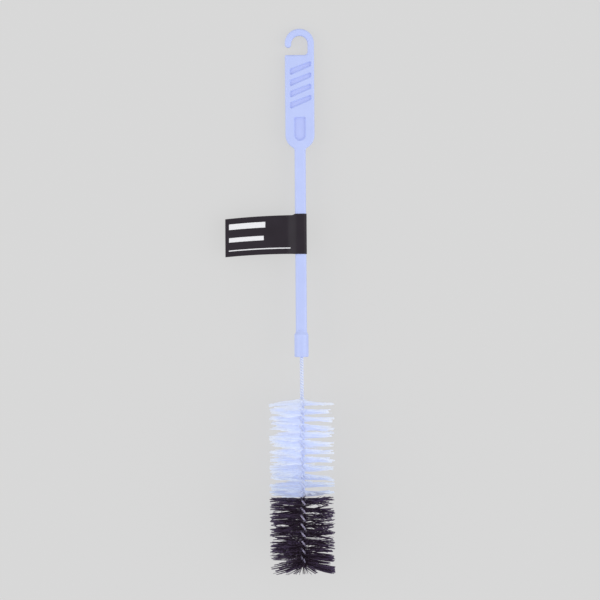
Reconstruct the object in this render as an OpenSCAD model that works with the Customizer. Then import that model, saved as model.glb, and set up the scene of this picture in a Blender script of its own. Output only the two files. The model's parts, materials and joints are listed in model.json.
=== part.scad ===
// Bottle brush: a moulded handle with a hanging hook, a stem of two twisted
// wire strands, and a head of pale and black filaments, with a folded card label.
//
// Each piece is drawn along its own axis (Z towards the hook, X to the right,
// -Y the front), and lying() then sets the brush down as it rests on a table:
// on the end of its hook and on the rim of its bristles, front upwards.

/* [Handle] */
// Length of the moulded handle, hook to collar
handle_len = 239.7; // [200:0.1:280]
// Width of the paddle and of the hook
paddle_w = 21.3; // [18:0.1:28]
// Thickness of the paddle and of the hook
paddle_t = 6; // [5:0.1:9]
// Length of the paddle with its hook
paddle_len = 88.2; // [84:0.1:110]
// Radius on the edges of the paddle and the hook
edge_r = 1.4; // [0.6:0.1:1.9]
// Width of the stem
stem_w = 8.1; // [7:0.1:12]
// Thickness of the stem
stem_t = 6; // [5:0.1:8]
// Radius on the edges of the stem
stem_edge_r = 2; // [0.5:0.1:2.4]
// Radius where the paddle runs into the stem
neck_r = 2.5; // [1:0.1:6]

/* [Hook] */
// Width of the hanging hole
hook_hole_w = 12; // [9:0.1:12.5]
// Thickness of the hook at its crown
hook_crown = 5.1; // [4:0.1:7]
// Hook's crown to the paddle's upper edge
hook_drop = 19.2; // [18:0.1:24]
// Gap between the hook's tip and the paddle
hook_gap = 5.4; // [3:0.1:6]
// Radius in the inner corner under the hook
hook_corner_r = 2.6; // [1:0.1:4]
// Radius of the paddle's upper outer corner
paddle_corner_r = 1; // [0.5:0.1:2]

/* [Grip] */
// Number of slanting grooves
groove_count = 4; // [1:1:4]
// Distance between grooves
groove_pitch = 8.2; // [7:0.1:9]
// Height of a groove at its right end, measured along the handle
groove_h = 4.2; // [3.6:0.1:5]
// Extra height of a groove at its left end
groove_flare = 0.9; // [0:0.1:1.2]
// Slope of the grooves, in degrees
groove_slope = 20.3; // [0:0.1:30]
// Paddle's upper edge to the middle of the first groove
groove_start = 9.3; // [8:0.1:12]
// Paddle's left edge to the grooves
groove_left = 3.3; // [2:0.1:5]
// Paddle's right edge to the grooves
groove_right = 2; // [1.6:0.1:5]
// Radius in the corners of a groove
groove_r = 1.2; // [1:0.1:1.5]
// Width of the thumb recess
thumb_w = 8.9; // [6:0.1:12]
// Length of the thumb recess
thumb_len = 17.7; // [14:0.1:18]
// Radius in the upper corners of the thumb recess
thumb_r = 1.4; // [1:0.1:2.5]
// Last groove's middle to the thumb recess
thumb_gap = 11.2; // [10:0.1:14]
// Depth of the grooves and of the thumb recess
recess_depth = 1; // [0.3:0.1:1.1]
// Slope of their walls from upright, in degrees
recess_draft = 38; // [5:1:40]

/* [Collar] */
// Diameter of the collar that holds the wire
collar_d = 10.3; // [9:0.1:14]
// Length of the collar's straight part
collar_len = 16.1; // [10:0.1:25]
// Length of the collar's taper
collar_taper = 4.4; // [2:0.1:8]
// Radius on the collar's end
collar_end_r = 0.8; // [0.3:0.1:1.5]

/* [Wire] */
// Diameter of the wire
wire_d = 1.5; // [1.2:0.05:2]
// Length of one full turn of the twist
lay_len = 11.8; // [9:0.1:16]
// Length of wire inside the handle
socket_depth = 25; // [15:1:60]
// Clearance round the wire inside the handle
socket_gap = 0.06; // [0.02:0.01:0.2]
// Clearance between the strands on the bare wire
strand_gap = 0.08; // [0.04:0.01:0.2]
// Clearance between the strands among the bristles
pinch_gap = 1.6; // [1.4:0.05:2.4]
// Length of bare wire below the handle
bare_len = 30.3; // [15:0.1:60]
// Length over which the strands part above the bristles
swell_len = 5; // [4:0.5:12]
// Length over which the twist dies out above the fold at the tip
settle_len = 3; // [2:0.5:6]

/* [Bristles] */
// Diameter of the head
head_d = 48; // [30:1:60]
// Length of the pale bristles
pale_len = 72; // [30:0.5:100]
// Length of the black bristles, without the tip
black_len = 40.5; // [20:0.5:60]
// Diameter of a filament
filament_d = 0.5; // [0.4:0.02:0.8]
// Sideways lean of the filaments, in degrees
fan_lean = 4; // [1:0.5:6]
// Number of filaments bent over the tip
tip_count = 9; // [3:2:13]
// Least droop of the tip filaments, in degrees
tip_droop = 15; // [8:1:25]
// Extra droop of the steepest tip filaments, in degrees
tip_spread = 17; // [0:1:20]

/* [Label] */
// Height of the card label round the stem
label_h = 29.4; // [15:0.1:50]
// Length of the label's flag
flag_len = 51.2; // [20:0.1:80]
// Height of the flag at the stem, as a share of the label's
flag_root = 0.966; // [0.9:0.001:0.99]
// Height of the flag at its free end, as a share of the label's
flag_end = 0.942; // [0.85:0.001:0.99]
// Thickness of the card
card_t = 0.25; // [0.15:0.01:0.5]
// Clearance between the card and the stem
card_gap = 0.12; // [0.05:0.01:0.3]
// Height of the label's lower edge above the collar's end
label_rise = 75.2; // [30:0.1:110]
// Radius of the curve in which the flag sags
flag_sag_r = 550; // [200:10:2000]
// Slant of the cut at the flag's free end, in degrees
flag_cut = 5.1; // [0:0.1:10]
// Radius of the bend in the flag, backwards
flag_bend_r = 320; // [150:10:900]

/* [Hidden] */
$fn = 64;

handle_colour = [0.76, 0.81, 0.98];
wire_colour = [0.74, 0.76, 0.82];
pale_colour = [0.84, 0.89, 0.99];
black_colour = [0.18, 0.15, 0.20];
card_colour = [0.20, 0.17, 0.21];

over = 1; // how far a cutter runs past the face it opens
neck_step = 0.05; // how far the fillets at the neck stand back from the stem's faces
flag_lift = 0.1; // how far the flag's lower edge stands above the label's, at the stem

// Handle: heights above the lower end of its collar
crown_z = handle_len;
hook_r = paddle_w / 2;
hook_z = crown_z - hook_r;
hole_r = hook_hole_w / 2;
hole_z = crown_z - hook_crown - hole_r;
paddle_z = crown_z - hook_drop;
limb_w = hook_r - hole_r;
limb_tip_z = min(paddle_z + hook_gap + limb_w / 2, hole_z - 0.1);
paddle_end_z = crown_z - paddle_len + hook_r;
collar_top_z = collar_len + collar_taper;
groove_z = paddle_z - groove_start;
thumb_z = groove_z - (groove_count - 1) * groove_pitch - thumb_gap;
face_y = paddle_t / 2;

// Wire: strand positions and the part of it that holds bristles
wire_r = wire_d / 2;
bare_r = wire_r + strand_gap / 2;
pinch_r = wire_r + pinch_gap / 2;
socket_r = bare_r + wire_r + socket_gap;
step = 0.84 * filament_d;
head_z = -bare_len;
pale_count = floor(pale_len / step) + 1;
black_z = head_z - pale_count * step - filament_d;
black_count = floor(black_len / step) + 1;
tip_z = black_z - black_count * step;
fold_z = tip_z - tip_count * step - 0.5 * wire_d;

// Resting place: hook end and bristle rim on the table
rim_r = head_d / 2;
rim_z = head_z + filament_d / 2;
rest_reach = norm([rim_r - face_y + edge_r, crown_z - edge_r - rim_z]);
rest_lag = atan2(crown_z - edge_r - rim_z, rim_r - face_y + edge_r);
rest_tilt = acos(edge_r / rest_reach) - rest_lag;
rest_h = rim_r * cos(rest_tilt) + rim_z * sin(rest_tilt);
tip_end_z = tip_z - (tip_count - 1) * step - rim_r * sin(tip_droop + tip_spread);
label_reach = stem_w / 2 + card_gap + card_t + flag_len;

// Sets a piece down on the table, centred over the middle of the whole brush.
module lying() {
    translate([(label_reach - rim_r) / 2, -(crown_z + tip_end_z) / 2, rest_h])
        rotate([-90 - rest_tilt, 0, 0]) children();
}

// ---------------------------------------------------------------- handle

module rounded_rect(w, t, r) {
    square([w - 2 * r, t], center = true);
    square([w, t - 2 * r], center = true);
    for (x = [-1, 1], y = [-1, 1])
        translate([x * (w / 2 - r), y * (t / 2 - r)]) circle(r);
}

// Straight bar along Z with rounded edges.
module bar(w, t, r, z_low, z_high) {
    translate([0, 0, z_low]) linear_extrude(z_high - z_low) rounded_rect(w, t, r);
}

// Half-round end of such a bar, pointing up.
module bar_end(w, t, r) {
    rotate([90, 0, 0]) rotate_extrude(angle = 180) intersection() {
        rounded_rect(w, t, r);
        translate([0, -t]) square([w, 2 * t]);
    }
}

// Section of a cut whose wall stands at x = h and whose two rims are rounded.
module rim_section(h) {
    difference() {
        translate([0, -face_y - over]) square([h + edge_r, paddle_t + 2 * over]);
        translate([h, edge_r - face_y]) square([2 * edge_r, paddle_t - 2 * edge_r]);
        for (y = [-1, 1]) translate([h + edge_r, y * (face_y - edge_r)]) circle(edge_r);
    }
}

// Round cut with rounded rims, through the paddle's thickness.
module rimmed_hole(r) {
    rotate([90, 0, 0]) rotate_extrude() rim_section(r);
}

// Straight cut with one rounded wall facing +X, running up from z = 0.
module rimmed_wall(h, length) {
    linear_extrude(length) rim_section(h);
}

// Everything that is open under the hook: a round-topped hole, and the gap
// to its left through which a rail or a loop goes in.
module hook_opening() {
    translate([0, 0, hole_z]) rimmed_hole(hole_r);
    translate([0, 0, paddle_z + hook_corner_r])
        rimmed_wall(hole_r, hole_z - paddle_z - hook_corner_r);
    translate([0, 0, limb_tip_z]) mirror([1, 0, 0])
        rimmed_wall(hole_r, hole_z - limb_tip_z);
    translate([hole_r - hook_corner_r, 0, paddle_z + hook_corner_r])
        rimmed_hole(hook_corner_r);
    // the paddle's upper edge
    translate([hole_r - hook_corner_r, 0, limb_tip_z])
        rotate([0, 90, 0]) mirror([0, 0, 1])
            rimmed_wall(limb_tip_z - paddle_z, hole_r - hook_corner_r + hook_r + over);
}

// What is cut away to round the paddle's upper left corner.
module paddle_corner() {
    translate([-hook_r, 0, paddle_z]) rotate([90, 0, 0])
        linear_extrude(paddle_t + 2 * over, center = true) difference() {
            translate([-over, -paddle_corner_r]) square(paddle_corner_r + over);
            translate([paddle_corner_r, -paddle_corner_r]) circle(paddle_corner_r);
        }
}

// Pocket with sloping walls and round corners, its floor at z = 0. It is given
// by the centres of its corners, anticlockwise, and their radius at its mouth.
module pocket(centres, r) {
    n = len(centres);
    h = recess_depth + over;
    floor_r = r - recess_depth * tan(recess_draft);
    top_r = r + over * tan(recess_draft);
    for (i = [0:n - 1]) {
        side = centres[(i + 1) % n] - centres[i];
        translate(centres[i]) {
            cylinder(r1 = floor_r, r2 = top_r, h = h);
            rotate(atan2(side[1], side[0])) rotate([90, 0, 90]) linear_extrude(norm(side))
                polygon([[0, 0], [0, h], [-top_r, h], [-floor_r, 0]]);
        }
    }
    if (n > 2) linear_extrude(h) polygon(centres);
}

// One slanting groove about the middle of the paddle, taller at its left end.
module groove() {
    left = -hook_r + groove_left + groove_r;
    right = hook_r - groove_right - groove_r;
    half = groove_h / 2 - groove_r / cos(groove_slope);
    rise = tan(groove_slope);
    pocket([
        [left, rise * left - half - groove_flare], [right, rise * right - half],
        [right, rise * right + half], [left, rise * left + half]
    ], groove_r);
}

// Thumb recess: square-shouldered above, round below.
module thumb_recess() {
    end_r = thumb_w / 2;
    side = end_r - thumb_r;
    pocket([[0, -end_r], [0, end_r - thumb_len]], end_r);
    pocket([
        [-side, -end_r], [side, -end_r], [side, -thumb_r], [-side, -thumb_r]
    ], thumb_r);
}

// Grooves and thumb recess, on both faces of the paddle.
module recesses() {
    for (face = [0, 1]) mirror([0, face, 0])
        translate([0, recess_depth - face_y, 0]) rotate([90, 0, 0]) {
            for (i = [0:groove_count - 1])
                translate([0, groove_z - i * groove_pitch]) groove();
            translate([0, thumb_z]) thumb_recess();
        }
}

// Fillets in the two corners between the paddle's round end and the stem.
module neck() {
    side = stem_w / 2 + neck_r;
    drop = sqrt(pow(hook_r + neck_r, 2) - side * side);
    flat = (hook_r - edge_r) / (hook_r + neck_r);
    for (s = [0, 1]) mirror([s, 0, 0]) translate([0, 0, paddle_end_z]) difference() {
        rotate([90, 0, 0]) linear_extrude(min(stem_t, paddle_t) - 2 * neck_step, center = true)
            polygon([[0, -flat * drop], [0, -drop], [side, -drop], flat * [side, -drop]]);
        translate([side, 0, -drop]) rimmed_hole(neck_r);
    }
}

// Collar and taper as one turned body, with a rounded lower end.
module collar() {
    r = collar_d / 2;
    rotate_extrude() {
        polygon([
            [0, 0], [r - collar_end_r, 0], [r - collar_end_r, collar_end_r], [r, collar_end_r],
            [r, collar_len], [stem_t / 2, collar_top_z], [0, collar_top_z]
        ]);
        intersection() {
            translate([r - collar_end_r, collar_end_r]) circle(collar_end_r);
            square(r);
        }
    }
}

module handle() {
    color(handle_colour) lying() {
        difference() {
            union() {
                bar(paddle_w, paddle_t, edge_r, paddle_end_z, hook_z);
                translate([0, 0, hook_z]) bar_end(paddle_w, paddle_t, edge_r);
                translate([0, 0, paddle_end_z]) mirror([0, 0, 1])
                    bar_end(paddle_w, paddle_t, edge_r);
                neck();
                bar(stem_w, stem_t, stem_edge_r, collar_len / 2, paddle_end_z);
                collar();
            }
            hook_opening();
            paddle_corner();
            recesses();
            translate([0, 0, -over])
                cylinder(r = socket_r, h = socket_depth + wire_r + socket_gap + over);
        }
        // round tip of the hook
        translate([-hook_r + limb_w / 2, 0, limb_tip_z]) mirror([0, 0, 1])
            bar_end(limb_w, paddle_t, edge_r);
    }
}

// ------------------------------------------------------------------ wire

// Turn of the strands at height z, clockwise towards the hook, so that the
// twist is left-handed. It dies out above the fold at the tip.
function turned(s) = s < settle_len ? s * s / (2 * settle_len) : s - settle_len / 2;
function twist(z) = 360 / lay_len * (turned(head_z - fold_z) - turned(max(0, z - fold_z)));
function eased(u) = u <= 0 ? 0 : u >= 1 ? 1 : u * u * (3 - 2 * u);
function strand_r(z) = bare_r + (pinch_r - bare_r) * eased((head_z + swell_len - z) / swell_len);
function around(a) = [cos(a), sin(a), 0];

// One wire folded double at the tip, its two legs twisted together.
module wire() {
    sides = 8;
    rings_per_turn = 10;
    bend_rings = 7;
    top = socket_depth;
    legs = ceil((top - fold_z) / (lay_len / rings_per_turn));
    function leg_z(i) = top + (fold_z - top) * i / legs;
    down = [for (i = [0:legs]) leg_z(i)];
    up = [for (i = [legs:-1:0]) leg_z(i)];
    bend = [for (i = [1:bend_rings]) 180 * i / (bend_rings + 1)];
    end_a = twist(fold_z);
    // outward directions and centres of the rings along the whole wire
    outward = concat(
        [for (z = down) around(twist(z))],
        [for (b = bend) cos(b) * around(end_a) - [0, 0, sin(b)]],
        [for (z = up) -around(twist(z))]
    );
    centre = concat(
        [for (z = down) strand_r(z) * around(twist(z)) + [0, 0, z]],
        [for (b = bend) pinch_r * (cos(b) * around(end_a) - [0, 0, sin(b)]) + [0, 0, fold_z]],
        [for (z = up) -strand_r(z) * around(twist(z)) + [0, 0, z]]
    );
    last = len(centre) - 1;
    points = [
        for (i = [0:last])
            let (
                along = centre[min(i + 1, last)] - centre[max(i - 1, 0)],
                t = along / norm(along),
                flat = outward[i] - (outward[i] * t) * t,
                n = flat / norm(flat),
                b = cross(t, n)
            )
            for (k = [0:sides - 1])
                let (a = 360 * k / sides)
                centre[i] + wire_r * (cos(a) * n + sin(a) * b)
    ];
    function at(i, k) = i * sides + k % sides;
    faces = concat(
        [[for (k = [0:sides - 1]) at(0, k)]],
        [for (i = [0:last - 1], k = [0:sides - 1]) [at(i, k), at(i + 1, k), at(i + 1, k + 1)]],
        [for (i = [0:last - 1], k = [0:sides - 1]) [at(i, k), at(i + 1, k + 1), at(i, k + 1)]],
        [[for (k = [sides - 1:-1:0]) at(last, k)]]
    );
    color(wire_colour) lying() polyhedron(points, faces, convexity = 10);
}

// -------------------------------------------------------------- bristles

// A straight filament across the wire at height z, pinched between the
// strands, so that a row of them follows the twist.
module filament(z, lean) {
    translate([0, 0, z]) rotate([0, 0, twist(z) + 90]) rotate([0, 90 + lean, 0])
        cylinder(d = filament_d, h = head_d, center = true, $fn = 16);
}

// A row of filaments down the wire. They lean by turns, so that they fan out.
module filament_row(z_first, count) {
    for (i = [0:count - 1]) filament(z_first - i * step, fan_lean * sin(90 * i));
}

// A filament bent over the tip of the wire: both halves droop. They leave
// the wire midway between the strands, give or take their swing.
module tip_filament(z, swing, droop) {
    exit_z = z - pinch_r * tan(droop);
    for (half = [0, 180])
        translate([0, 0, z]) rotate([0, 0, twist(exit_z) + 90 + half + swing])
            rotate([0, 90 + droop, 0]) cylinder(d = filament_d, h = rim_r, $fn = 16);
}

module pale_bristles() {
    color(pale_colour) lying() filament_row(head_z, pale_count);
}

module black_bristles() {
    swing_limit = 36;
    color(black_colour) lying() {
        filament_row(black_z, black_count);
        for (i = [0:tip_count - 1]) {
            swing = swing_limit * sin(360 * 0.382 * i);
            droop = tip_droop + tip_spread * i / (tip_count - 1);
            tip_filament(tip_z - i * step, swing, droop);
        }
    }
}

// ----------------------------------------------------------------- label

// Outline of the flag seen from the front, from the stem at X = 0 to its free
// end, about the middle of the label's height. It sags and tapers, and its end
// is cut at a slant.
module flag_outline() {
    steps = 8;
    middle = (flag_root - 1) * label_h / 2 + flag_lift;
    function half(t) = label_h / 2 * (flag_root + (flag_end - flag_root) * t);
    function edge(t, side) =
        let (
            reach = t * (flag_len - side * half(1) * tan(flag_cut)),
            a = reach / flag_sag_r * 180 / PI
        )
        [0, middle - flag_sag_r] + (flag_sag_r + side * half(t)) * [-sin(a), cos(a)];
    polygon(concat(
        [[label_h / 9, middle - half(0)], [label_h / 9, middle + half(0)]],
        [for (i = [0:steps]) edge(i / steps, 1)],
        [for (i = [steps:-1:0]) edge(i / steps, -1)]
    ));
}

// A strip of card folded round the stem, its ends glued into a flag.
module label() {
    inner_w = stem_w + 2 * card_gap;
    inner_t = stem_t + 2 * card_gap;
    inner_r = stem_edge_r + card_gap;
    flag_x = -inner_w / 2;
    flag_t = 2 * card_t;
    flag_angle = flag_len / flag_bend_r * 180 / PI;
    sheet_h = 2 * label_h;
    color(card_colour) lying() translate([0, 0, label_rise + label_h / 2]) {
        linear_extrude(label_h, center = true) difference() {
            rounded_rect(inner_w + 2 * card_t, inner_t + 2 * card_t, inner_r + card_t);
            rounded_rect(inner_w, inner_t, inner_r);
        }
        difference() {
            intersection() {
                translate([flag_x, flag_bend_r, -sheet_h / 2])
                    rotate_extrude(angle = -1.1 * flag_angle, start = 270.1)
                        translate([flag_bend_r - flag_t / 2, 0]) square([flag_t, sheet_h]);
                translate([flag_x, 0, 0]) rotate([90, 0, 0])
                    linear_extrude(2 * flag_len, center = true) flag_outline();
            }
            translate([flag_x - card_t / 2, -inner_t / 2, -sheet_h / 2])
                cube([inner_w, inner_t, sheet_h]);
        }
    }
}

handle();
wire();
pale_bristles();
black_bristles();
label();
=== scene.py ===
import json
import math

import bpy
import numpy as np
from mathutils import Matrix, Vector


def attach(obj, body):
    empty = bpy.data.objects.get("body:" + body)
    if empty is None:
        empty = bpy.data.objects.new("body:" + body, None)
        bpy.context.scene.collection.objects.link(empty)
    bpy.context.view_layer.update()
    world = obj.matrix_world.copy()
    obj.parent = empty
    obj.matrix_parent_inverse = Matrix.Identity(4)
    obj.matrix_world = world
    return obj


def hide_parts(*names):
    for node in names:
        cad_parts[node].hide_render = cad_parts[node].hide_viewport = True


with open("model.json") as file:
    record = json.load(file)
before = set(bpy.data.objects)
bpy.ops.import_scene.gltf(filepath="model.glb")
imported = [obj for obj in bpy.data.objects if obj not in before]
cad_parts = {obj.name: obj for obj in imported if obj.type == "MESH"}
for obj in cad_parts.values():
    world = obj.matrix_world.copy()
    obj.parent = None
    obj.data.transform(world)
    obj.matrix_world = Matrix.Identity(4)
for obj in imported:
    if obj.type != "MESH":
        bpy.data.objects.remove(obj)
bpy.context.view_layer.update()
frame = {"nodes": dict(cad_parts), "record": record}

# Looks of the bottle brush. The handle is the CAD node with a moulded finish. The
# wire, both rows of bristles and the card label are finer pieces that stand for
# their CAD nodes.
#
# Everything is worked out in the brush's own axes, in millimetres, with z = 0 at
# the lower end of the handle's collar: z runs up to the hook, x to the right as
# seen from the front, and -y out of the paddle's face.

# ---------------------------------------------------------------- sizes, in mm

HOLE_Z = 228.6  # the hook hole's centre
RECESS_FLOOR = 2.0  # from the handle's middle to the floors of its recesses

WIRE_R = 0.75
LAY_LEN = 12.0  # one full turn of the twist among the bristles
BARE_LAY_LEN = 4.0  # and on the bare wire
SETTLE_LEN = 1.5  # the twist reaches its full rate over this length
TWIST_START = 0.23  # the strands lie side by side this far below the head's upper end
BARE_STRAND_R = 0.79  # strand centre to the axis, on the bare wire
PALE_STRAND_R = 0.98  # among the pale bristles
BLACK_STRAND_R = 1.55  # and among the black ones
SWELL_START = 3.2  # the strands begin to part this far above the head
SWELL_LEN = 6.0  # and come to each new distance over this length
SOCKET_DEPTH = 25.0  # the wire's ends stand this deep in the collar
FOLD_Z = -149.8  # below this a half ring joins the two strands

RIM_R = 23.8  # radius of the head
HEAD_Z = -30.3  # its upper end
PALE_Z = (-102.4, -30.7)  # lowest and highest root of the pale filaments
BLACK_Z = (-146.2, -103.0)  # and of the black ones
FILAMENT_R = 0.155
BLACK_ROW_SHADE_Z = (-104.5, -101.5)  # painted shade from the black filaments: the wire turns a little pinker downwards between these
SHADED_Z = (-101.5, -72.0)  # and painted shade makes the pale filaments a little darker

LABEL_H = 29.4
LABEL_Z = 75.2  # its lower edge
FLAG_LEN = 51.2
FLAG_H = 28.4  # the flag's height where it leaves the wrap
FLAG_END_H = 27.7  # and at its free end
FLAG_LIFT = 0.1  # its lower edge stands this much above the wrap's
FLAG_START = 1.5  # it takes its own height over this length
FLAG_SAG_R = 550  # radius of its curve downwards
FLAG_BEND_R = 320  # and backwards
FLAG_CUT = 0.09  # slope of the slanting cut at its free end
PRINT_BARS = (  # white bars: least and most distance from the strip's free end and its top edge
    (2.8, 29.6, 4.4, 8.7),
    (2.8, 28.4, 15.0, 18.4),
    (2.6, 48.0, 24.5, 25.3),
)
CARD_T = 0.25
CARD_GAP = 0.12  # between the card and the stem
PLY_CLOSE = 6.0  # the flag's two plies meet this far from the stem
PLY_GAP = 0.01  # each ply keeps this far from the middle between them
STEM_W = 8.1
STEM_T = 6.0
STEM_EDGE_R = 2.0

# ----------------------------------------------------------- the brush's axes

hook = frame["record"]["mounts"][0]
FRONT = Vector(hook["axis"]).normalized()  # out of the paddle's face
ALONG = Vector((0, FRONT.z, -FRONT.y))  # up to the hook
SIDE = Vector((1, 0, 0))
ORIGIN = Vector(hook["pos_m"]) - ALONG * HOLE_Z / 1000
LYING = Matrix((  # from the brush's own axes to the shared frame
    (SIDE.x / 1000, -FRONT.x / 1000, ALONG.x / 1000, ORIGIN.x),
    (SIDE.y / 1000, -FRONT.y / 1000, ALONG.y / 1000, ORIGIN.y),
    (SIDE.z / 1000, -FRONT.z / 1000, ALONG.z / 1000, ORIGIN.z),
    (0, 0, 0, 1),
))
LYING_NP = np.array(LYING)


def to_frame(points):
    """Points in the brush's own axes and millimetres, as an array, to the shared frame."""
    return points @ LYING_NP[:3, :3].T + LYING_NP[:3, 3]


def add_piece(name, points, faces, material, node):
    """A smooth mesh, moved to the shared frame, that stands for a CAD node."""
    mesh = bpy.data.meshes.new(name)
    mesh.from_pydata(to_frame(points).tolist(), [], faces)
    mesh.shade_smooth()
    mesh.materials.append(material)
    piece = bpy.data.objects.new(name, mesh)
    bpy.context.scene.collection.objects.link(piece)
    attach(piece, "root")
    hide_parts(node)
    return piece


# --------------------------------------------------------------------- tubes

STEEP = 0.7  # a tube is steep if it rises by more than this share of its length


def ring_walls(index):
    """Faces between rings of points. index is of shape (..., rings, sides)."""
    beside = np.roll(index, -1, axis=-1)
    corners = [index[..., :-1, :], index[..., 1:, :], beside[..., 1:, :], beside[..., :-1, :]]
    return np.stack(corners, axis=-1).reshape(-1, 4).tolist()


def straight_tubes(paths, radius, sides):
    """Closed round tubes along nearly straight paths, an array of shape (tubes, rings, 3)."""
    count, rings, _ = paths.shape
    ahead = np.concatenate([paths[:, 1:], paths[:, -1:]], axis=1)
    behind = np.concatenate([paths[:, :1], paths[:, :-1]], axis=1)
    along = ahead - behind
    along /= np.linalg.norm(along, axis=2, keepdims=True)
    chord = paths[:, -1] - paths[:, 0]
    steep = np.abs(chord[:, 2]) > STEEP * np.linalg.norm(chord, axis=1)
    up = np.where(steep[:, None], [[1.0, 0.0, 0.0]], [[0.0, 0.0, 1.0]])
    across = np.cross(along, up[:, None, :])
    across /= np.linalg.norm(across, axis=2, keepdims=True)
    other = np.cross(along, across)
    turn = 2 * np.pi * np.arange(sides) / sides
    offset = (np.cos(turn)[:, None] * across[:, :, None, :]
              + np.sin(turn)[:, None] * other[:, :, None, :])
    points = paths[:, :, None, :] + radius * offset

    index = np.arange(count * rings * sides).reshape(count, rings, sides)
    faces = ring_walls(index)
    faces += index[:, 0].tolist()
    faces += index[:, -1, ::-1].tolist()
    return points.reshape(-1, 3), faces


def bent_tube(path, radius, sides):
    """A closed round tube along one path, turned as little as possible from ring to ring."""
    ahead = np.concatenate([path[1:], path[-1:]])
    behind = np.concatenate([path[:1], path[:-1]])
    along = ahead - behind
    along /= np.linalg.norm(along, axis=1, keepdims=True)
    across = np.cross(along[0], [1.0, 0.0, 0.0])
    turn = 2 * np.pi * np.arange(sides) / sides
    rings = []
    for centre, direction in zip(path, along):
        across = across - (across @ direction) * direction
        across = across / np.linalg.norm(across)
        other = np.cross(direction, across)
        offset = np.cos(turn)[:, None] * across + np.sin(turn)[:, None] * other
        rings.append(centre + radius * offset)

    index = np.arange(len(path) * sides).reshape(len(path), sides)
    faces = ring_walls(index)
    faces += [index[0].tolist(), index[-1, ::-1].tolist()]
    return np.concatenate(rings), faces


# ----------------------------------------------------------- material helpers

def srgb(*rgb):
    """A colour given as 0 to 255 display values, as linear RGBA."""
    return [(c / 255 / 12.92 if c <= 10 else ((c / 255 + 0.055) / 1.055) ** 2.4) for c in rgb] + [1]


WHITE = srgb(255, 255, 255)


def new_material(name, **sockets):
    """A material with one Principled shader. Returns it, its nodes, its links and the shader."""
    material = bpy.data.materials.new(name)
    material.use_nodes = True
    nodes, links = material.node_tree.nodes, material.node_tree.links
    shader = nodes["Principled BSDF"]
    for socket, value in sockets.items():
        shader.inputs[socket.replace("_", " ")].default_value = value
    return material, nodes, links, shader


def add_noise(nodes, links, scale, detail, stretch=(1, 1, 1)):
    """Noise over the object's own coordinates, in metres. Returns its Factor output."""
    place = nodes.new("ShaderNodeTexCoord")
    mapping = nodes.new("ShaderNodeMapping")
    mapping.inputs["Scale"].default_value = stretch
    noise = nodes.new("ShaderNodeTexNoise")
    noise.inputs["Scale"].default_value = scale
    noise.inputs["Detail"].default_value = detail
    links.new(place.outputs["Object"], mapping.inputs["Vector"])
    links.new(mapping.outputs["Vector"], noise.inputs["Vector"])
    return noise.outputs["Fac"]


def add_ramp(nodes, links, factor, stops):
    """A colour ramp over a factor. stops are (position, colour)."""
    ramp = nodes.new("ShaderNodeValToRGB")
    ramp.color_ramp.elements.remove(ramp.color_ramp.elements[1])
    for i, (position, colour) in enumerate(stops):
        element = ramp.color_ramp.elements[0] if i == 0 else ramp.color_ramp.elements.new(position)
        element.position = position
        element.color = colour
    links.new(factor, ramp.inputs["Fac"])
    return ramp.outputs["Color"]


def multiplied(nodes, links, colour, tone):
    """One colour times another."""
    mix = nodes.new("ShaderNodeMix")
    mix.data_type = "RGBA"
    mix.blend_type = "MULTIPLY"
    mix.inputs["Factor"].default_value = 1
    links.new(colour, mix.inputs["A"])
    links.new(tone, mix.inputs["B"])
    return mix.outputs["Result"]


def add_math(nodes, links, operation, value, other):
    """A Math node over a socket and a socket or number. Returns its output."""
    node = nodes.new("ShaderNodeMath")
    node.operation = operation
    links.new(value, node.inputs[0])
    if isinstance(other, float):
        node.inputs[1].default_value = other
    else:
        links.new(other, node.inputs[1])
    return node.outputs[0]


def add_bump(nodes, links, shader, height, distance, strength):
    """Fine relief, distance metres high, on the shader's surface."""
    bump = nodes.new("ShaderNodeBump")
    bump.inputs["Distance"].default_value = distance
    bump.inputs["Strength"].default_value = strength
    links.new(height, bump.inputs["Height"])
    links.new(bump.outputs["Normal"], shader.inputs["Normal"])


def shade_corners(nodes, links, colour, distance, stops):
    """Painted shade: a colour times a ramp over how open the place is, from crowded to open."""
    corner = nodes.new("ShaderNodeAmbientOcclusion")
    corner.inputs["Distance"].default_value = distance
    corner.samples = 12
    corner.only_local = True
    shade = add_ramp(nodes, links, corner.outputs["AO"], stops)
    return multiplied(nodes, links, colour, shade)


def along_axis(nodes, links, output, axis, start=0.0):
    """How far a point, or a normal, reaches along an axis of the brush, in metres."""
    place = nodes.new("ShaderNodeTexCoord")
    dot = nodes.new("ShaderNodeVectorMath")
    dot.operation = "DOT_PRODUCT"
    dot.inputs[1].default_value = axis
    links.new(place.outputs[output], dot.inputs[0])
    return add_math(nodes, links, "SUBTRACT", dot.outputs["Value"], start)


def between(nodes, links, heights):
    """0 at the lower of two heights of the brush, in mm, and 1 at the upper."""
    low, high = heights
    height = along_axis(nodes, links, "Object", ALONG, float(ORIGIN.dot(ALONG)))
    place = add_math(nodes, links, "MULTIPLY_ADD", height, 1000 / (high - low))
    place.node.inputs[2].default_value = -low / (high - low)
    return place


def in_recess(nodes, links):
    """1 on the floors of the grooves and of the thumb recess, 0 elsewhere."""
    flat_cosine = 0.93  # a steeper face is no floor
    leeway = 0.0004  # metres above or below the floors
    depth = along_axis(nodes, links, "Object", FRONT, float(ORIGIN.dot(FRONT)))
    depth = add_math(nodes, links, "ABSOLUTE", depth, 0.0)
    facing = along_axis(nodes, links, "Normal", FRONT)
    facing = add_math(nodes, links, "ABSOLUTE", facing, 0.0)
    flat = add_math(nodes, links, "GREATER_THAN", facing, flat_cosine)
    level = add_math(nodes, links, "COMPARE", depth, RECESS_FLOOR / 1000)
    level.node.inputs[2].default_value = leeway
    return add_math(nodes, links, "MULTIPLY", flat, level)


# ----------------------------------------------------------------- materials

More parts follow.
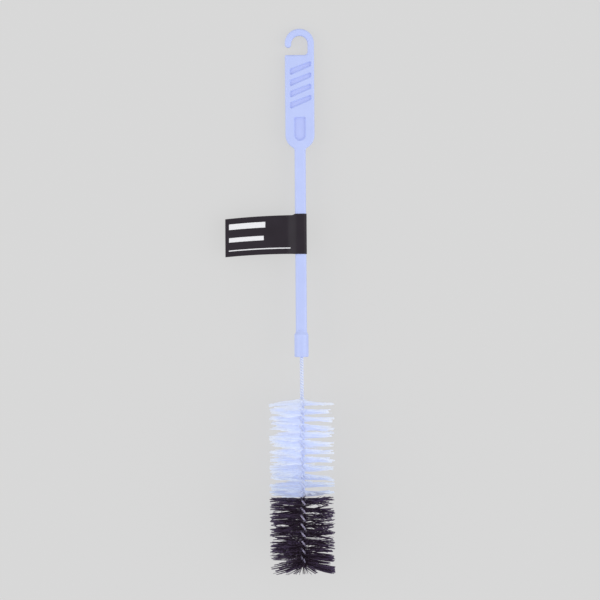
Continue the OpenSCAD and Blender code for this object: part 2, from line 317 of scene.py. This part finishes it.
def handle_plastic():
    """Pale periwinkle plastic from a fine-grained mould, with painted shade slightly darkening its
    recess floors and its corners.
    """
    material, nodes, links, shader = new_material("handle_plastic", Roughness=0.38)
    cloudy = add_noise(nodes, links, scale=90, detail=3)
    body = add_ramp(nodes, links, cloudy, [(0.3, srgb(188, 201, 249)), (0.7, srgb(192, 205, 252))])
    # Painted shade: the floors of the recesses are a touch darker.
    recess_floor_shade = add_ramp(nodes, links, in_recess(nodes, links),
                          [(0, WHITE), (1, srgb(248, 247, 254))])
    colour = multiplied(nodes, links, body, recess_floor_shade)
    # Painted shade where the plastic crowds itself, in corners and recesses.
    shaded = shade_corners(nodes, links, colour, distance=0.003,
                           stops=[(0.45, srgb(226, 226, 244)), (0.98, WHITE)])
    links.new(shaded, shader.inputs["Base Color"])
    grain = add_noise(nodes, links, scale=2600, detail=2)
    add_bump(nodes, links, shader, grain, distance=0.00002, strength=0.6)
    return material


def wire_steel():
    """Drawn galvanised wire with fine streaks along it, and painted shade that makes it pinker
    where the black filaments are.
    """
    material, nodes, links, shader = new_material("wire_steel", Roughness=0.55, Metallic=0.1)
    streaks = add_noise(nodes, links, scale=700, detail=3, stretch=(1, 0.2, 1))
    colour = add_ramp(nodes, links, streaks,
                      [(0.3, srgb(217, 224, 245)), (0.7, srgb(224, 231, 250))])
    # Painted shade, pinker, on the wire among the black filaments.
    wire_shade = add_ramp(nodes, links, between(nodes, links, BLACK_ROW_SHADE_Z),
                    [(0, srgb(253, 238, 255)), (1, WHITE)])
    links.new(multiplied(nodes, links, colour, wire_shade), shader.inputs["Base Color"])
    add_bump(nodes, links, shader, streaks, distance=0.00003, strength=0.5)
    return material


def filament_tone(nodes, links, low, high):
    """A colour between two that differs from one filament to the next."""
    each = nodes.new("ShaderNodeNewGeometry")
    return add_ramp(nodes, links, each.outputs["Random Per Island"], [(0, low), (1, high)])


def pale_filament():
    """Whitish blue nylon, with painted shade that darkens it towards the black row.

    Its emission stands for light scattered inside it, and makes about a third of its light.
    """
    material, nodes, links, shader = new_material(
        "pale_filament", Roughness=0.4,
        Emission_Color=srgb(216, 210, 245), Emission_Strength=0.155)
    tone = filament_tone(nodes, links, srgb(225, 235, 246), srgb(236, 242, 248))
    # Painted shade towards the black row.
    shading = add_ramp(nodes, links, between(nodes, links, SHADED_Z),
                       [(0, srgb(234, 239, 244)), (1, WHITE)])
    links.new(multiplied(nodes, links, tone, shading), shader.inputs["Base Color"])
    return material


def black_filament():
    """Glossy black nylon with a violet shine, and a trace of emission for the photo's haze."""
    material, nodes, links, shader = new_material(
        "black_filament", Roughness=0.28,
        Specular_IOR_Level=0.7, Specular_Tint=srgb(190, 170, 255),
        Emission_Color=srgb(245, 205, 230), Emission_Strength=0.005)
    tone = filament_tone(nodes, links, srgb(48, 39, 48), srgb(64, 52, 70))
    links.new(tone, shader.inputs["Base Color"])
    return material


def black_card():
    """Coated black card with a soft sheen and a fine tooth."""
    material, nodes, links, shader = new_material(
        "black_card", Roughness=0.45, Specular_IOR_Level=0.25)
    cloudy = add_noise(nodes, links, scale=60, detail=2)
    colour = add_ramp(nodes, links, cloudy, [(0.3, srgb(33, 26, 35)), (0.7, srgb(40, 33, 43))])
    links.new(colour, shader.inputs["Base Color"])
    tooth = add_noise(nodes, links, scale=3500, detail=2)
    add_bump(nodes, links, shader, tooth, distance=0.00001, strength=0.5)
    return material


def white_print():
    """White ink printed on the card."""
    return new_material("white_print", Roughness=0.5, Base_Color=srgb(236, 236, 240))[0]


# -------------------------------------------------------------------- handle

def finish_handle():
    """The CAD handle in its moulded plastic."""
    handle = frame["nodes"]["handle"]
    handle.data.materials.clear()
    handle.data.materials.append(handle_plastic())


# ---------------------------------------------------------------------- wire

def eased(u):
    """A smooth step from 0 to 1."""
    u = np.clip(u, 0, 1)
    return u * u * (3 - 2 * u)


def wound(length):
    """Length of full twist that a length of wire holds, as its rate grows from nothing."""
    return np.where(length < SETTLE_LEN, length * length / (2 * SETTLE_LEN),
                    length - SETTLE_LEN / 2)


def twist(z):
    """Angle of the strands at height z, in radians. The twist is left-handed."""
    whole = wound(np.asarray(HEAD_Z - FOLD_Z, float))
    down = whole - wound(np.maximum(0, np.asarray(z, float) - FOLD_Z))
    bare = wound(np.maximum(0, np.asarray(z, float) - HEAD_Z))
    return 2 * np.pi / LAY_LEN * (down - (LAY_LEN / BARE_LAY_LEN - 1) * bare - TWIST_START)


def strand_spread(z):
    """Distance from the axis to the strands' centres at height z."""
    pale = eased((HEAD_Z + SWELL_START - z) / SWELL_LEN)
    black = eased((PALE_Z[0] - z) / SWELL_LEN)
    return (BARE_STRAND_R + (PALE_STRAND_R - BARE_STRAND_R) * pale
            + (BLACK_STRAND_R - PALE_STRAND_R) * black)


def make_wire():
    """One wire folded double at the tip, its two legs twisted together."""
    rings_per_turn, bend_rings, sides = 56, 14, 14
    legs = round((SOCKET_DEPTH - FOLD_Z) / LAY_LEN * rings_per_turn)
    z = np.linspace(SOCKET_DEPTH, FOLD_Z, legs)
    angle, spread = twist(z), strand_spread(z)
    down = np.stack([spread * np.cos(angle), spread * np.sin(angle), z], axis=1)
    up = (down * [-1, -1, 1])[::-1]
    bend = np.pi * np.arange(1, bend_rings) / bend_rings
    end = twist(FOLD_Z)
    loop = np.stack([
        BLACK_STRAND_R * np.cos(bend) * np.cos(end),
        BLACK_STRAND_R * np.cos(bend) * np.sin(end),
        FOLD_Z - BLACK_STRAND_R * np.sin(bend),
    ], axis=1)
    points, faces = bent_tube(np.concatenate([down, loop, up]), WIRE_R, sides)
    return add_piece("twisted_wire", points, faces, wire_steel(), "wire")


# ------------------------------------------------------------------ bristles

RINGS, SIDES = 6, 5  # of each filament's tube
ROOT_R = 0.5  # the filaments start this far from the axis, spread sideways from there

# Where the point lies that a filament's curve is drawn towards: out by a share of the
# radius along its first and its last direction, and along the wire by a share of its
# way, give or take some mm.
BOW_OUT, BOW_Z, BOW_STRAY = 0.22, 0.3, 0.35

LEFT_LEAN = 0.33  # how far filaments that point at or away from the viewer lean to the left
LEFT_PROUD = 0.025  # how much further they reach to the left
SIDE_PULL = 0.42  # how far tufts are swept towards the head's two sides, in radians
UPRIGHT_PULL = 0.1  # and those that are hardly swept
FILAMENT_STRAY = 0.7  # a filament strays by this share of what its tuft does
SWAY_STEP = 3.0  # tufts this far apart along the wire, in mm, tip by themselves
END_WEAR = 0.015  # filaments end this unevenly, as a share of their length
SHORT_SHARE = 0.08  # this share of them is shorter
SHORT_REACH = (0.7, 0.95)  # by cutting it to between these shares of its length
END_ROOM = (0.5, 0.3)  # ends stay within this of the row's lowest and highest root, in mm

DROOP, DROOP_LEN = 2.8, 4  # how far the upper left corner droops, fading over a length
RISE, RISE_LEN = 1.8, 3  # and how far the lowest filaments at the front rise
PARTING_Z = -141.5  # rows above and below this part on the right
PARTING_UP, PARTING_DOWN, PARTING_LEN = 1.5, 3.6, 3.2  # how far, fading over a length
CORNER_POWER = 1.5  # how late along a filament the droop and the parting set in

# The seeds put the gaps between the tufts where the photo has them.
PALE_SEED, BLACK_SEED, TIP_SEED = 7794, 4074, 1984


def bezier(start, middle, end):
    """Curved paths from start to end that are drawn towards middle, one row of points each."""
    t = np.linspace(0, 1, RINGS)[None, :, None]
    return ((1 - t) ** 2 * start[:, None] + 2 * t * (1 - t) * middle[:, None]
            + t * t * end[:, None])


def outward(angle):
    """Unit directions round the wire, leaning left where they point at or away from the viewer."""
    x = np.cos(angle) - LEFT_LEAN * np.sin(angle) ** 2
    y = np.sin(angle)
    size = np.hypot(x, y)
    return x / size, y / size


def tufts(seed, z_range, count, tuft_size, stray, lean, sway, gather, scatter, ragged, part,
          upright, bundle):
    """Paths of count half filaments that follow the twist, in tufts of tuft_size.

    stray is how far a tuft turns round the wire, lean how far it tips along it, and
    sway how far its neighbours tip with it, all in degrees. gather is how much of the
    way filaments close up towards their tuft's middle, scatter how far their ends
    stray from there, in mm, and ragged how uneven the tufts' ends are. part is how
    much of the way the filaments on the right close up into separate rows, upright
    the share of tufts that are hardly swept to the sides, and bundle half the width
    over which the roots are spread, in mm. Where that is more than the gap between
    the strands, filaments start inside them.
    """
    rng = np.random.default_rng(seed)
    z = np.repeat(np.sort(rng.uniform(*z_range, count // 2)), 2)
    half = np.tile([0, 1], count // 2)
    tuft = np.arange(len(z)) // 2 // tuft_size * 2 + half
    tuft_count = tuft.max() + 1
    centre_z = (np.bincount(tuft, z) / np.bincount(tuft))[tuft]
    tuft_turn = np.radians(rng.normal(0, stray, tuft_count))[tuft]
    knots = np.arange(z_range[0] - SWAY_STEP, z_range[1] + SWAY_STEP, SWAY_STEP)
    sways = rng.normal(0, sway, (2, len(knots)))
    tip = rng.normal(0, lean, tuft_count)[tuft]
    tip += np.where(half, np.interp(centre_z, knots, sways[0]),
                    np.interp(centre_z, knots, sways[1]))

    root = twist(z) + np.pi / 2 + np.pi * half
    pull = np.where(rng.random(tuft_count) < upright, UPRIGHT_PULL, SIDE_PULL)[tuft]
    own_turn = np.radians(rng.normal(0, FILAMENT_STRAY * stray, len(z)))
    end_x, end_y = outward(root - pull * np.sin(2 * root) + tuft_turn + own_turn)
    trim = (1 - ragged * rng.uniform(0, 1, tuft_count) ** 2)[tuft]
    reach = RIM_R * (1 + LEFT_PROUD * np.maximum(0, -end_x)) * trim
    reach = reach * (1 - np.abs(rng.normal(0, END_WEAR, len(z))))
    short = rng.random(len(z)) < SHORT_SHARE
    reach = np.where(short, reach * rng.uniform(*SHORT_REACH, len(z)), reach)
    end_z = z + gather * (centre_z - z) + RIM_R * np.tan(np.radians(tip))
    end_z = end_z + rng.normal(0, scatter, len(z))
    from_row = (root + np.pi / 2) % np.pi - np.pi / 2
    end_z += part * np.clip(end_x, 0, 1) * from_row * LAY_LEN / (2 * np.pi)
    end_z = np.clip(end_z, z_range[0] - END_ROOM[0], z_range[1] + END_ROOM[1])

    beside = rng.uniform(-bundle, bundle, len(z))
    start = np.stack([
        ROOT_R * np.cos(root) - beside * np.sin(root),
        ROOT_R * np.sin(root) + beside * np.cos(root),
        z,
    ], axis=1)
    middle = np.stack([
        BOW_OUT * RIM_R * (np.cos(root) + end_x),
        BOW_OUT * RIM_R * (np.sin(root) + end_y),
        z + BOW_Z * (end_z - z) + rng.normal(0, BOW_STRAY, len(z)),
    ], axis=1)
    end = np.stack([reach * end_x, reach * end_y, end_z], axis=1)
    return bezier(start, middle, end)


def drooped(paths):
    """The paths with the ends at the head's upper left corner bent down.

    The lowest ones that point at the viewer bend up a little, clear of the black row.
    """
    near = np.exp((paths[:, :1, 2] - PALE_Z[1]) / DROOP_LEN)
    low = np.exp((PALE_Z[0] - paths[:, :1, 2]) / RISE_LEN)
    paths[:, :, 2] -= DROOP * near * np.clip(-paths[:, :, 0] / RIM_R, 0, 1) ** CORNER_POWER
    paths[:, :, 2] += RISE * low * np.clip(-paths[:, :, 1] / RIM_R, 0, 1)
    return paths


def parted(paths):
    """The paths with the rows on the right opened where the tip's tuft begins."""
    above = paths[:, :1, 2] - PARTING_Z
    lift = np.where(above > 0, PARTING_UP, -PARTING_DOWN) * np.exp(-np.abs(above) / PARTING_LEN)
    paths[:, :, 2] += lift * np.clip(paths[:, :, 0] / RIM_R, 0, 1) ** CORNER_POWER
    return paths


# Clumps of filaments, mostly bent over the tip of the wire. Each part has its number
# of filaments and of clumps, its middle direction round the wire and how far the
# clumps spread from it (degrees, 0 to the right, 180 to the left and -90 to the
# front), the highest and lowest place where they leave the wire and where they end,
# the least and most that they reach (shares of the head's radius), and the share of
# their way down at which the point lies that their curve is drawn towards.
TIP_PARTS = (
    # the thick tuft on the right
    (150, 14, -4, 14, (-142.5, -147.0), (-145.4, -149.6), (0.93, 1.0), 0.75),
    (50, 7, -4, 14, (-146.0, -149.0), (-149.8, -152.4), (0.78, 0.9), 0.75),
    (130, 12, -4, 14, (-147.5, -151.0), (-152.6, -158.3), (0.99, 1.004), 0.75),
    # short filaments under the whole row on the left
    (105, 40, 180, 30, (-103.5, -146.0), (-103.5, -146.0), (0.35, 0.65), 0.5),
    # looser strands on the left
    (120, 24, 180, 28, (-135.0, -149.6), (-137.0, -149.8), (0.93, 1.004), 0.5),
    (50, 17, 184, 18, (-147.0, -153.2), (-151.2, -158.7), (0.75, 1.0), 0.45),
    (44, 20, 184, 24, (-146.0, -153.4), (-150.0, -156.6), (0.3, 0.6), 0.45),
    # thin ones below, to the left and to the right
    (30, 14, 186, 14, (-150.0, -153.4), (-156.8, -159.1), (0.1, 0.85), 0.5),
    (16, 7, -10, 16, (-150.5, -153.4), (-157.0, -159.3), (0.08, 0.5), 0.4),
    # at the front, at the back, and thin ones at the front
    (50, 14, -90, 40, (-145.5, -151.0), (-149.5, -153.6), (0.3, 0.9), 0.5),
    (50, 12, -90, 20, (-149.5, -153.2), (-152.4, -154.0), (0.1, 0.5), 0.5),
    (40, 9, 90, 40, (-146.0, -150.0), (-150.0, -157.0), (0.5, 0.95), 0.5),
    (10, 5, -90, 30, (-149.0, -152.0), (-156.5, -158.8), (0.3, 0.8), 0.5),
    # short ones at the front that cover the joint with the pale row
    (30, 15, -90, 30, (-103.0, -105.0), (-101.0, -104.5), (0.2, 0.6), 0.5),
)
CLUMP_TURN = 4  # a clump's filaments stray this far round the wire, in degrees
ROOT_STRAY, END_STRAY = 0.12, 0.02  # and along it, as shares of their part's height
CLUMP_REACH = (0.93, 1)  # they reach between these shares of their clump's reach
CLUMP_BOW = 0.4  # their curve is drawn towards a point at this share of their reach
CLUMP_BESIDE = 0.6  # and at this share of the root's distance from the middle
TIP_Z, TIP_R = (-151.0, -148.5), (2.6, 0.8)  # half the roots' width at two heights


def tip_tuft(seed, parts):
    """Paths of the filaments in the clumps that parts lists, as TIP_PARTS does."""
    rng = np.random.default_rng(seed)
    paths = []
    for count, clumps, angle, spread, heights, end_heights, reaches, sag in parts:
        clump = rng.integers(clumps, size=count)
        turn = np.radians(rng.normal(angle, spread, clumps)[clump]
                          + rng.normal(0, CLUMP_TURN, count))
        down = ((np.arange(clumps) + rng.uniform(0, 1, clumps)) / clumps)[clump]
        root_down = np.clip(down + rng.normal(0, ROOT_STRAY, count), 0, 1)
        end_down = np.clip(down + rng.normal(0, END_STRAY, count), 0, 1)
        z = heights[0] + (heights[1] - heights[0]) * root_down
        end_z = end_heights[0] + (end_heights[1] - end_heights[0]) * end_down
        reach = RIM_R * rng.uniform(*reaches, clumps)[clump] * rng.uniform(*CLUMP_REACH, count)
        x, y = reach * np.cos(turn), reach * np.sin(turn)
        beside = rng.uniform(-1, 1, count) * np.interp(z, TIP_Z, TIP_R)
        start = np.stack([ROOT_R * np.cos(turn), beside, z], axis=1)
        middle = np.stack([CLUMP_BOW * x, CLUMP_BOW * y + CLUMP_BESIDE * beside,
                           z + sag * (end_z - z)], axis=1)
        end = np.stack([x, y, end_z], axis=1)
        paths.append(bezier(start, middle, end))
    return np.concatenate(paths)


def make_pale_row():
    """The upper row of bristles."""
    paths = drooped(tufts(
        PALE_SEED, PALE_Z, count=3400, tuft_size=14, stray=11, lean=1.6, sway=1.8,
        gather=0.35, scatter=0.3, ragged=0.2, part=0.36, upright=0.45, bundle=1.0))
    points, faces = straight_tubes(paths, FILAMENT_R, SIDES)
    return add_piece("pale_bristle_row", points, faces, pale_filament(),
                     "pale_bristles")


def make_black_row():
    """The lower row of bristles, with the filaments that are bent over the tip."""
    row = parted(tufts(
        BLACK_SEED, BLACK_Z, count=2100, tuft_size=9, stray=18, lean=6.5, sway=1.5,
        gather=0.75, scatter=0.18, ragged=0.27, part=0.1, upright=0.0, bundle=0.6))
    paths = np.concatenate([row, tip_tuft(TIP_SEED, TIP_PARTS)])
    points, faces = straight_tubes(paths, FILAMENT_R, SIDES)
    return add_piece("black_bristle_row", points, faces, black_filament(),
                     "black_bristles")


# --------------------------------------------------------------------- label

FLAG_STEPS, RISE_STEPS, CORNER_STEPS = 52, 11, 8  # lines along the flag, up it and round a corner
LINE_ROOM = 0.3  # grid lines closer than this to a bar's edge are left out, in mm


def with_edges(values, edges):
    """Grid values with extra lines, without lines that nearly meet them."""
    kept = [v for v in values if min(abs(v - e) for e in edges) > LINE_ROOM]
    return np.array(sorted(kept + list(edges)))


def strip_line():
    """The card's middle line round the stem and out along the flag, as x, y points.

    It starts at the free end of the flag's front ply and ends at its back ply's.
    """
    out_of_stem = CARD_GAP + CARD_T / 2
    w = STEM_W / 2 + out_of_stem
    t = STEM_T / 2 + out_of_stem
    r = STEM_EDGE_R + out_of_stem
    bar_ends = {FLAG_LEN - end for bar in PRINT_BARS for end in bar[:2]}
    out = with_edges(np.linspace(-r, FLAG_LEN, FLAG_STEPS), bar_ends)
    apart = (t - CARD_T / 2 - PLY_GAP) * (1 - eased((out + r) / (PLY_CLOSE + r)))
    front = [(-w - s, -CARD_T / 2 - PLY_GAP - y) for s, y in zip(out[::-1], apart[::-1])]
    back = [(-w - s, CARD_T / 2 + PLY_GAP + y) for s, y in zip(out, apart)]
    around = []
    quarter = np.linspace(0, np.pi / 2, CORNER_STEPS)
    for cx, cy, start in ((w - r, -t + r, 1.5 * np.pi), (w - r, t - r, 0)):
        around += [(cx + r * math.cos(start + a), cy + r * math.sin(start + a)) for a in quarter]
    return np.array(front + around + back)


def bent_card(flat, rise):
    """Points of the strip at a height above its middle, with the flag cut, sagging and bent."""
    root_x = -(STEM_W / 2 + CARD_GAP + CARD_T / 2)
    reach = np.maximum(0, root_x - flat[:, 0])
    free = eased(reach / FLAG_START)
    reach = reach * (1 - FLAG_CUT * rise / FLAG_LEN)
    height = FLAG_H + (FLAG_END_H - FLAG_H) * reach / FLAG_LEN
    lower = ((LABEL_H - FLAG_H) / 2 - FLAG_LIFT) * free
    z = rise * (1 + (height / LABEL_H - 1) * free) - lower
    sag = reach / FLAG_SAG_R
    x = root_x - (FLAG_SAG_R + z) * np.sin(sag)
    z = (FLAG_SAG_R + z) * np.cos(sag) - FLAG_SAG_R
    turn = (root_x - x) / FLAG_BEND_R
    bent_x = root_x - (FLAG_BEND_R - flat[:, 1]) * np.sin(turn)
    bent_y = FLAG_BEND_R - (FLAG_BEND_R - flat[:, 1]) * np.cos(turn)
    out = reach > 0
    return np.stack([np.where(out, bent_x, flat[:, 0]), np.where(out, bent_y, flat[:, 1]),
                     LABEL_Z + LABEL_H / 2 + z], axis=1)


def is_print(line, rises, row, column):
    """Whether a white bar covers this field of the card's outer face."""
    along = line[column:column + 2, 0].mean() - line[0, 0]
    down = LABEL_H / 2 - rises[row:row + 2].mean()
    return line[column, 1] < 0 and any(
        near < along < far and top < down < bottom for near, far, top, bottom in PRINT_BARS)


def card_faces(line, rises):
    """Faces of the card, as a closed sheet, and which of them are printed."""
    rows, columns = len(rises), len(line)
    top, last = rows - 1, columns - 1

    def at(side, row, column):
        """The number of a point on the outer side, 0, or the inner one, 1."""
        return (side * rows + row) * columns + column

    faces, printed = [], []
    for row in range(top):
        for c in range(last):
            if is_print(line, rises, row, c):
                printed.append(len(faces))
            faces.append([at(0, row, c), at(0, row, c + 1),
                          at(0, row + 1, c + 1), at(0, row + 1, c)])
            faces.append([at(1, row, c), at(1, row + 1, c),
                          at(1, row + 1, c + 1), at(1, row, c + 1)])
    for c in range(last):
        faces.append([at(0, 0, c), at(1, 0, c), at(1, 0, c + 1), at(0, 0, c + 1)])
        faces.append([at(0, top, c), at(0, top, c + 1), at(1, top, c + 1), at(1, top, c)])
    for row in range(top):
        faces.append([at(0, row, 0), at(0, row + 1, 0), at(1, row + 1, 0), at(1, row, 0)])
        faces.append([at(0, row, last), at(1, row, last),
                      at(1, row + 1, last), at(0, row + 1, last)])
    return faces, printed


def make_label():
    """One strip of card round the stem, its two ends glued together as a flag."""
    sharp_angle = 40
    line = strip_line()
    bar_edges = {LABEL_H / 2 - edge for bar in PRINT_BARS for edge in bar[2:]}
    rises = with_edges(np.linspace(-LABEL_H / 2, LABEL_H / 2, RISE_STEPS), bar_edges)
    along = np.gradient(line, axis=0)
    along /= np.linalg.norm(along, axis=1, keepdims=True)
    normal = np.stack([along[:, 1], -along[:, 0]], axis=1)
    points = np.concatenate([bent_card(line + side * CARD_T * normal, rise)
                             for side in (0.5, -0.5) for rise in rises])
    faces, printed = card_faces(line, rises)
    label = add_piece("card_label", points, faces, black_card(), "label")
    label.data.materials.append(white_print())
    for face in printed:
        label.data.polygons[face].material_index = 1
    label.data.set_sharp_from_angle(angle=math.radians(sharp_angle))
    return label


finish_handle()
make_wire()
make_pale_row()
make_black_row()
make_label()

# --------------------------------------------------------------------- stage

FLOOR_GREY = srgb(216, 216, 216)
FLOOR_LIT = 0.18  # the share of the floor's tone that the lamps make
FLOOR_HALF = 3.0  # metres
WORLD_LIGHT = 0.74
SUN_SPREAD = math.radians(50)
SUNS = (  # name, strength and the direction that it stands in
    ("key", 0.85, (0.82, -0.15, 0.55)),
    ("fill", 0.7, (-0.83, 0.0, 0.55)),
)


def shown_grey(name, colour, share):
    """A plain surface that shows its own colour to the eye, with share of the light on it."""
    material = bpy.data.materials.new(name)
    material.use_nodes = True
    nodes, links = material.node_tree.nodes, material.node_tree.links
    nodes.clear()
    diffuse = nodes.new("ShaderNodeBsdfDiffuse")
    diffuse.inputs["Color"].default_value = colour
    glow = nodes.new("ShaderNodeEmission")
    glow.inputs["Color"].default_value = colour
    ray = nodes.new("ShaderNodeLightPath").outputs
    direct = add_math(nodes, links, "MAXIMUM", ray["Is Camera Ray"], ray["Is Glossy Ray"])
    seen = add_math(nodes, links, "MAXIMUM", direct, ray["Is Transmission Ray"])
    mix = nodes.new("ShaderNodeMixShader")
    links.new(add_math(nodes, links, "MULTIPLY", seen, 1 - share), mix.inputs["Fac"])
    links.new(diffuse.outputs[0], mix.inputs[1])
    links.new(glow.outputs[0], mix.inputs[2])
    out = nodes.new("ShaderNodeOutputMaterial")
    links.new(mix.outputs[0], out.inputs["Surface"])
    return material


def make_floor():
    """The plain grey floor that the brush lies on."""
    mesh = bpy.data.meshes.new("floor")
    corners = [(-FLOOR_HALF, -FLOOR_HALF, 0), (FLOOR_HALF, -FLOOR_HALF, 0),
               (FLOOR_HALF, FLOOR_HALF, 0), (-FLOOR_HALF, FLOOR_HALF, 0)]
    mesh.from_pydata(corners, [], [(0, 1, 2, 3)])
    mesh.materials.append(shown_grey("floor", FLOOR_GREY, FLOOR_LIT))
    floor = bpy.data.objects.new("floor", mesh)
    bpy.context.scene.collection.objects.link(floor)


def light_world():
    """Even white light from all around."""
    world = bpy.data.worlds.new("studio")
    bpy.context.scene.world = world
    world.use_nodes = True
    background = world.node_tree.nodes["Background"]
    background.inputs["Color"].default_value = WHITE
    background.inputs["Strength"].default_value = WORLD_LIGHT


def add_sun(name, energy, toward):
    """A broad soft lamp a long way off, in the direction toward."""
    data = bpy.data.lights.new(name, "SUN")
    data.energy = energy
    data.angle = SUN_SPREAD
    sun = bpy.data.objects.new(name, data)
    bpy.context.scene.collection.objects.link(sun)
    sun.rotation_euler = Vector(toward).to_track_quat("Z", "Y").to_euler()


make_floor()
light_world()
for sun_name, sun_energy, sun_side in SUNS:
    add_sun(sun_name, sun_energy, sun_side)

# -------------------------------------------------------------------- camera

PICTURE_SPAN = 438.4  # mm across the whole picture
AIM_X, AIM_Z = -0.88, 41.6  # the picture's centre
ROLL = math.radians(0.42)
DISTANCE = 3.0  # metres from the camera to the brush
SENSOR_W = 36
CLIP_END = 20


def add_camera():
    """The camera straight above the brush's face, as in the photo."""
    data = bpy.data.cameras.new("camera")
    camera = bpy.data.objects.new("camera", data)
    bpy.context.scene.collection.objects.link(camera)
    bpy.context.scene.camera = camera
    data.sensor_width = SENSOR_W
    data.lens = SENSOR_W * DISTANCE / (PICTURE_SPAN / 1000)
    data.clip_end = CLIP_END
    aim = LYING @ Vector((AIM_X, 0, AIM_Z))
    up = ALONG * math.cos(ROLL) + SIDE * math.sin(ROLL)
    right = up.cross(FRONT)
    facing = Matrix((right, up, FRONT)).transposed().to_4x4()
    camera.matrix_world = Matrix.Translation(aim + FRONT * DISTANCE) @ facing


add_camera()

bpy.context.scene.view_settings.view_transform = "Standard"
bpy.context.scene.cycles.max_bounces = 16
bpy.context.scene.cycles.diffuse_bounces = 12  # light reaches deep into the pale bristles
